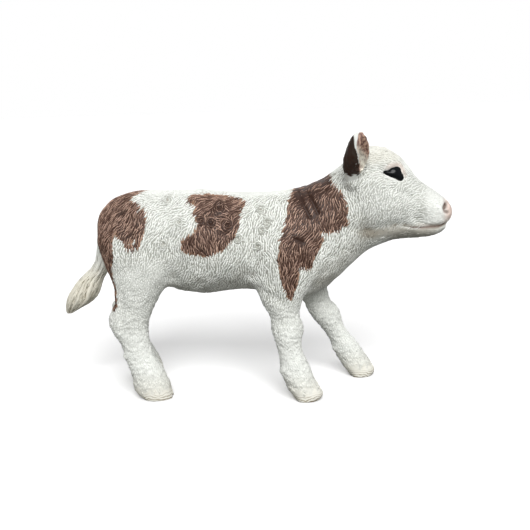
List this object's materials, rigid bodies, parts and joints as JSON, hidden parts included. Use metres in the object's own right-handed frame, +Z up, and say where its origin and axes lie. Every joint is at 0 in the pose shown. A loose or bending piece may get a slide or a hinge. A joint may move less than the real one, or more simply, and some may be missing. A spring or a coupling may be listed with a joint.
{
  "type": "calf figurine",
  "caption": "Standing calf toy figurine with sculpted white coat, brown patches, upright ears, glossy eyes and a stepping pose, resting on flat hoof soles.",
  "frame": {"origin": "on the ground under the middle of the overall box", "axes": "+X the way the calf looks, +Y its left side, +Z up"},
  "size_m": [0.0794, 0.0211, 0.0521],
  "materials": {
    "coat": "matt paint on soft PVC, white with brown patches",
    "ear": "matt dark brown paint on soft PVC",
    "eye": "gloss black",
    "leg": "matt cream paint on soft PVC"
  },
  "bodies": {
    "root": {"torso": "coat", "head": "coat", "right_ear": "ear", "left_ear": "ear", "right_eye": "eye", "left_eye": "eye", "tail": "coat", "right_foreleg": "leg", "left_foreleg": "leg", "right_hind_leg": "leg", "left_hind_leg": "leg"}
  },
  "joints": []
}
